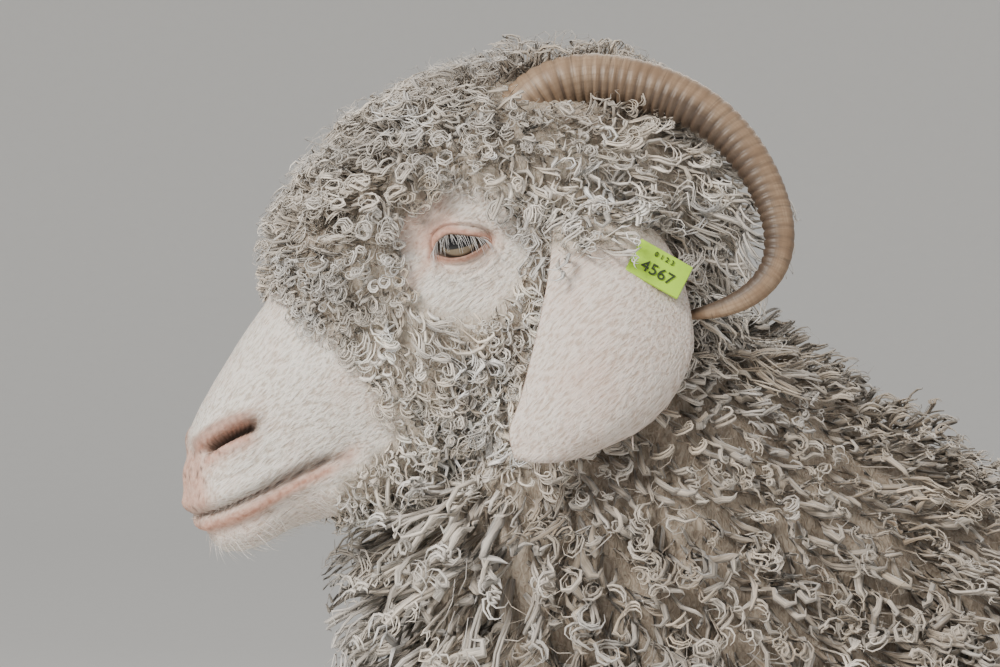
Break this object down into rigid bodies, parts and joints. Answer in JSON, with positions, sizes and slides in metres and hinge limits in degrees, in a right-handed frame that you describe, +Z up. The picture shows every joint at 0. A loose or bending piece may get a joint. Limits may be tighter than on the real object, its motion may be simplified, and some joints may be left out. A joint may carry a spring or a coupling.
{
  "type": "angora goat",
  "caption": "Life-size still model of a standing Angora goat with curly fleece, swept-back horns, drooping ears and an ear tag; a display animal that rests on its hooves.",
  "frame": {"origin": "centre of the goat's box, on the floor under it", "axes": "+X from nose to tail, +Y to the goat's right side, +Z up"},
  "size_m": [1.0758, 0.397, 0.878],
  "materials": {
    "fleece": "matt curly wool",
    "short_hair": "short white hair",
    "horn": "ridged horn",
    "eye": "wet gloss",
    "hoof": "worn horn",
    "tag": "yellow-green plastic"
  },
  "bodies": {
    "root": {"torso": "fleece", "neck": "fleece", "head": "fleece", "tail": "fleece", "foreleg_left_upper": "fleece", "foreleg_right_upper": "fleece", "hindleg_left_upper": "fleece", "hindleg_right_upper": "fleece", "foreleg_left_lower": "short_hair", "foreleg_right_lower": "short_hair", "hindleg_left_lower": "short_hair", "hindleg_right_lower": "short_hair", "ear_left": "short_hair", "ear_right": "short_hair", "horn_left": "horn", "horn_right": "horn", "eye_left": "eye", "eye_right": "eye", "hoof_foreleg_left_inner": "hoof", "hoof_foreleg_left_outer": "hoof", "hoof_foreleg_right_inner": "hoof", "hoof_foreleg_right_outer": "hoof", "hoof_hindleg_left_inner": "hoof", "hoof_hindleg_left_outer": "hoof", "hoof_hindleg_right_inner": "hoof", "hoof_hindleg_right_outer": "hoof", "ear_tag": "tag"}
  },
  "joints": []
}
